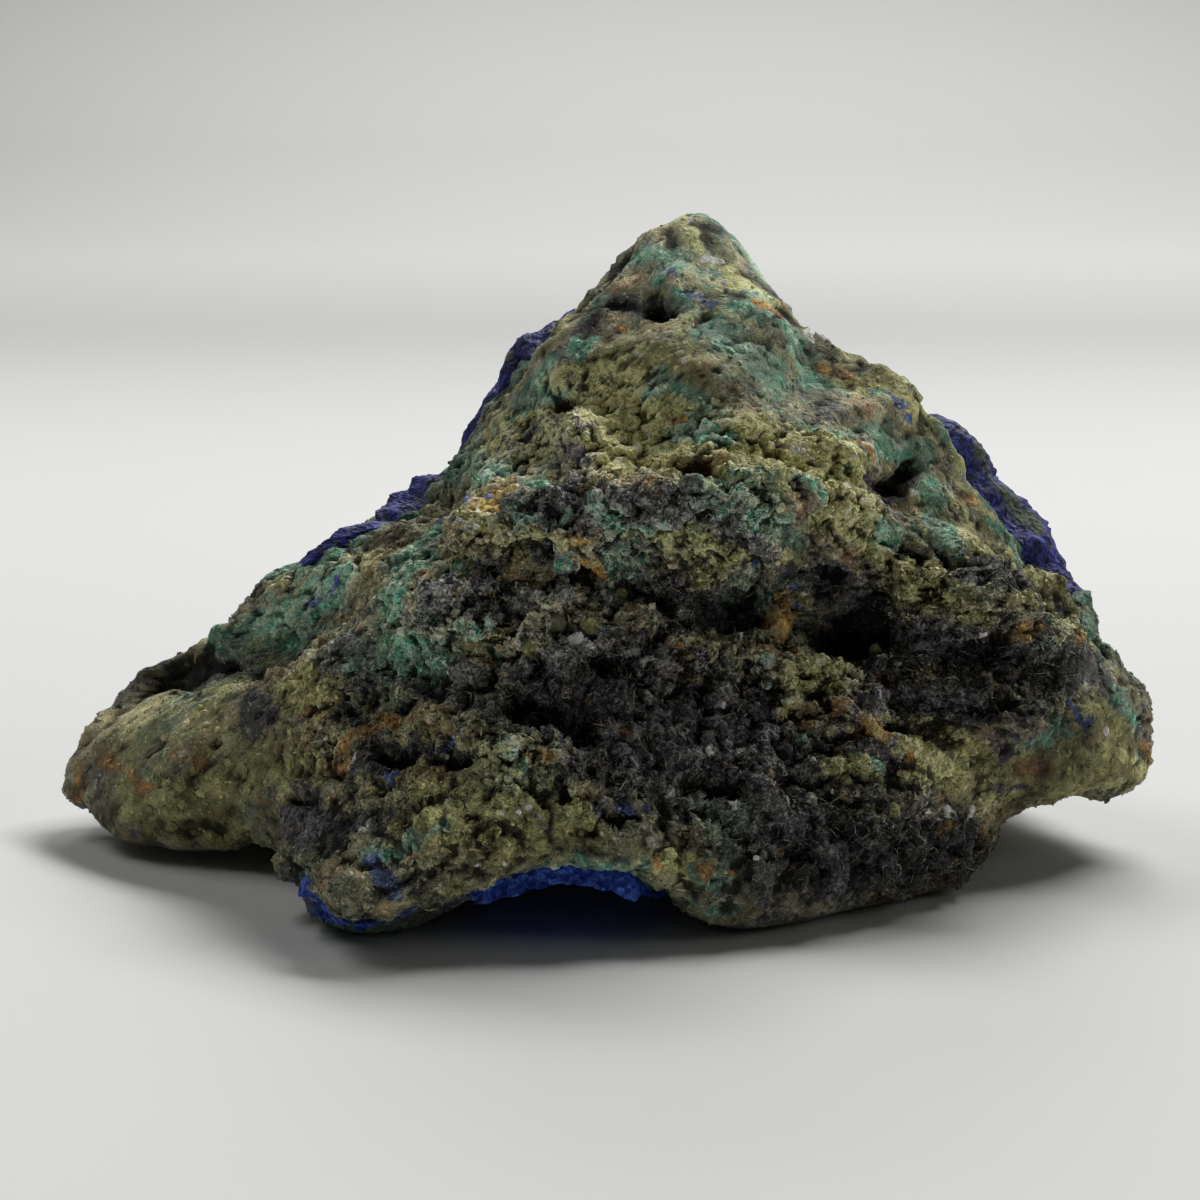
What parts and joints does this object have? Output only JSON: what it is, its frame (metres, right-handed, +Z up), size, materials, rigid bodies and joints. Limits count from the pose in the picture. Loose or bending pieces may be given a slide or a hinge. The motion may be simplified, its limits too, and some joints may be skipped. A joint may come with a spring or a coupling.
{
  "type": "azurite specimen",
  "caption": "Loose hand-sized lump of weathered copper-ore matrix with a long left tail and a pointed peak, carrying thin crusts of blue azurite crystals behind and below.",
  "frame": {"origin": "middle of the bounding box in X and Y, on the ground under the stone's feet", "axes": "+X along the stone's longest side from the tail to the right lobe, -Y towards the broken front face, +Z up through the peak"},
  "size_m": [0.0874, 0.0594, 0.0492],
  "materials": {
    "matrix_rock": "crumbly weathered ore matrix: black-brown and olive with green malachite and rust stains, dull",
    "azurite_crust_back": "deep blue opaque crystal crust, vitreous to dull",
    "azurite_crust_underside": "bright blue opaque crystal crust, vitreous"
  },
  "bodies": {
    "root": {"matrix_rock": "matrix_rock", "azurite_crust_back": "azurite_crust_back", "azurite_crust_underside": "azurite_crust_underside"}
  },
  "joints": []
}
